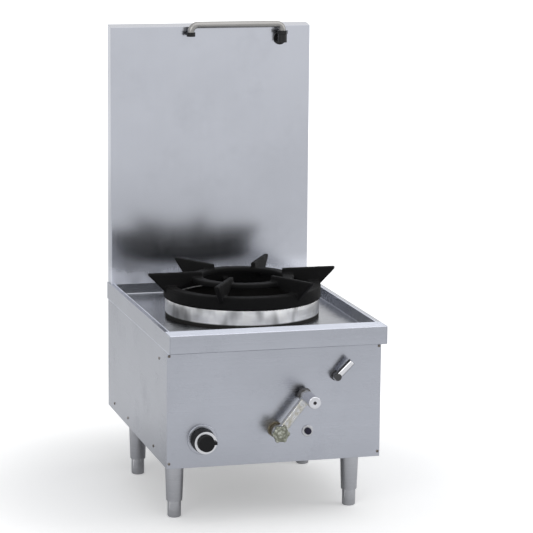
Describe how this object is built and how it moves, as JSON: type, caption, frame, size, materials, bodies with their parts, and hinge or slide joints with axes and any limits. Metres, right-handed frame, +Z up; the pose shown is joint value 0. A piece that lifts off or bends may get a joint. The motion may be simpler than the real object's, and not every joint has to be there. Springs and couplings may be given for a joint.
{
  "type": "stockpot range",
  "caption": "Free-standing gas stockpot range: sunk hob, cast pot stand on a polished ring, tall splashback with swinging pot filler.",
  "frame": {"origin": "on the floor, under the middle of the footprint including the gas lever's reach", "axes": "-Y is the front with the controls, +X is the right side seen from the front, +Z is up"},
  "size_m": [0.6, 0.8722, 1.2958],
  "materials": {
    "stainless": "brushed, number four grain",
    "stainless_inner": "mill finish",
    "polished": "polished stainless",
    "chrome": "bright plating",
    "steel_zinc": "zinc plated",
    "cast_black": "black cast, matt",
    "cast_grey": "as cast",
    "brass": "turned, dulled",
    "bronze": "dull bronze",
    "copper": "copper tube",
    "black_plastic": "satin black",
    "black_matt": "matt black",
    "ceramic": "white glazed ceramic",
    "red_silicone": "silicone sleeve",
    "dial": "spun silver",
    "nickel_dark": "black nickel"
  },
  "bodies": {
    "range": {"back_panel": "stainless_inner", "burner_body": "cast_grey", "burner_bracket": "steel_zinc", "burner_cap": "cast_grey", "cross_member_front": "stainless_inner", "cross_member_rear": "stainless_inner", "filler_bracket": "nickel_dark", "filler_riser_pipe": "copper", "front_ledge": "stainless", "front_panel": "stainless", "gas_control_valve": "brass", "gas_injector": "brass", "gas_supply_pipe": "steel_zinc", "hob_tray": "stainless", "igniter_body": "chrome", "ignition_lead": "red_silicone", "knob_bezel": "chrome", "leg_bolts": "steel_zinc", "leg_front_left": "stainless", "leg_front_right": "stainless", "leg_rear_left": "stainless", "leg_rear_right": "stainless", "main_valve_body": "brass", "mixing_tube": "cast_grey", "panel_screws": "steel_zinc", "pilot_burner": "brass", "pilot_tube": "copper", "side_panel_left": "stainless", "side_panel_right": "stainless", "side_rail_left": "stainless", "side_rail_right": "stainless", "spark_electrode": "ceramic", "splashback_posts": "stainless_inner", "splashback_rear_cover": "stainless_inner", "splashback_skin": "stainless", "tap_collar": "black_matt", "tap_valve_body": "brass", "thermocouple": "copper", "valve_link_pipe": "copper", "water_supply_pipe": "copper"},
    "gas_spindle": {"gas_spindle": "steel_zinc"},
    "gas_knob": {"gas_knob": "black_plastic", "knob_ring": "dial"},
    "gas_lever": {"lever_arm": "chrome", "lever_cap": "brass", "grip_collar": "bronze", "lever_grip": "chrome"},
    "igniter_button": {"igniter_button": "black_plastic"},
    "tap_lever": {"tap_lever": "chrome"},
    "pot_filler": {"filler_arm": "chrome", "filler_swivel_nut": "nickel_dark", "filler_nozzle": "nickel_dark"},
    "burner_ring": {"burner_ring": "polished"},
    "trivet": {"trivet": "cast_black"},
    "foot_front_left": {"foot_front_left": "stainless_inner"},
    "foot_front_right": {"foot_front_right": "stainless_inner"},
    "foot_rear_left": {"foot_rear_left": "stainless_inner"},
    "foot_rear_right": {"foot_rear_right": "stainless_inner"}
  },
  "joints": [
    {"name": "gas_knob_turn", "type": "hinge", "parent": "range", "child": "gas_spindle", "pos_m": [-0.2, -0.315, 0.241], "axis": [0, -1, 0], "range_deg": [0, 180]},
    {"name": "gas_knob_push", "type": "slide", "parent": "gas_spindle", "child": "gas_knob", "axis": [0, 1, 0], "range_m": [0, 0.003], "stiffness_N_per_m": 1500, "springref_m": -0.002},
    {"name": "gas_lever_turn", "type": "hinge", "parent": "range", "child": "gas_lever", "pos_m": [0, -0.315, 0.259], "axis": [0, -1, 0], "range_deg": [0, 90]},
    {"name": "igniter_push", "type": "slide", "parent": "range", "child": "igniter_button", "axis": [0, 1, 0], "range_m": [0, 0.006], "stiffness_N_per_m": 1200, "springref_m": -0.002},
    {"name": "tap_lever_turn", "type": "hinge", "parent": "range", "child": "tap_lever", "pos_m": [0.167, -0.315, 0.398], "axis": [0, -1, 0], "range_deg": [0, 90]},
    {"name": "pot_filler_swing", "type": "hinge", "parent": "range", "child": "pot_filler", "pos_m": [0.205, 0.363, 1.257], "axis": [0, 0, 1], "range_deg": [0, 110]},
    {"name": "burner_ring_lift", "type": "slide", "parent": "range", "child": "burner_ring", "axis": [0, 0, 1], "range_m": [0, 0.12]},
    {"name": "trivet_lift", "type": "slide", "parent": "burner_ring", "child": "trivet", "axis": [0, 0, 1], "range_m": [0, 0.15]},
    {"name": "foot_front_left_height", "type": "slide", "parent": "range", "child": "foot_front_left", "axis": [0, 0, -1], "range_m": [0, 0.025]},
    {"name": "foot_front_right_height", "type": "slide", "parent": "range", "child": "foot_front_right", "axis": [0, 0, -1], "range_m": [0, 0.025]},
    {"name": "foot_rear_left_height", "type": "slide", "parent": "range", "child": "foot_rear_left", "axis": [0, 0, -1], "range_m": [0, 0.025]},
    {"name": "foot_rear_right_height", "type": "slide", "parent": "range", "child": "foot_rear_right", "axis": [0, 0, -1], "range_m": [0, 0.025]}
  ]
}
